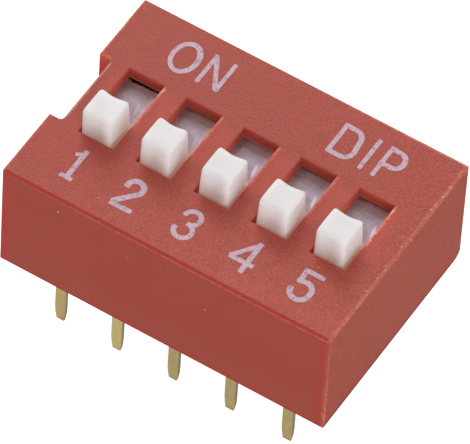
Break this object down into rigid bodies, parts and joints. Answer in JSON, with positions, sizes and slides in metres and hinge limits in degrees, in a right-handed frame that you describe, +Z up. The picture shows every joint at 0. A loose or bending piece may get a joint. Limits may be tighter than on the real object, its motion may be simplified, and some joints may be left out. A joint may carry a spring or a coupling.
{
  "type": "slide switch in a dual-in-line package",
  "caption": "Slide switch bank in a low rectangular housing, with raised square knobs in roof slots, an end notch and two rows of flat through-hole pins.",
  "frame": {"origin": "centre of the housing's underside, on the seating plane that meets the circuit board", "axes": "+X along the row from the notched end to the plain end, +Y from the OFF side to the ON side, +Z up out of the board"},
  "size_m": [0.0144, 0.0098, 0.01],
  "materials": {
    "housing": "fine satin moulding",
    "base": "dull moulding",
    "knob": "smooth moulding",
    "terminal": "dull gold plate",
    "contact": "gold plate"
  },
  "bodies": {
    "housing": {"cover": "housing", "base": "base", "terminal_front_1": "terminal", "terminal_front_2": "terminal", "terminal_front_3": "terminal", "terminal_front_4": "terminal", "terminal_front_5": "terminal", "terminal_back_1": "terminal", "terminal_back_2": "terminal", "terminal_back_3": "terminal", "terminal_back_4": "terminal", "terminal_back_5": "terminal"},
    "switch_1": {"slider_1": "knob", "contact_1": "contact"},
    "switch_2": {"slider_2": "knob", "contact_2": "contact"},
    "switch_3": {"slider_3": "knob", "contact_3": "contact"},
    "switch_4": {"slider_4": "knob", "contact_4": "contact"},
    "switch_5": {"slider_5": "knob", "contact_5": "contact"}
  },
  "joints": [
    {"name": "slide_1", "type": "slide", "parent": "housing", "child": "switch_1", "axis": [0, 1, 0], "range_m": [0, 0.00204]},
    {"name": "slide_2", "type": "slide", "parent": "housing", "child": "switch_2", "axis": [0, 1, 0], "range_m": [-0.00004, 0.002]},
    {"name": "slide_3", "type": "slide", "parent": "housing", "child": "switch_3", "axis": [0, 1, 0], "range_m": [-0.00007, 0.00197]},
    {"name": "slide_4", "type": "slide", "parent": "housing", "child": "switch_4", "axis": [0, 1, 0], "range_m": [-0.00004, 0.002]},
    {"name": "slide_5", "type": "slide", "parent": "housing", "child": "switch_5", "axis": [0, 1, 0], "range_m": [-0.00004, 0.002]}
  ]
}
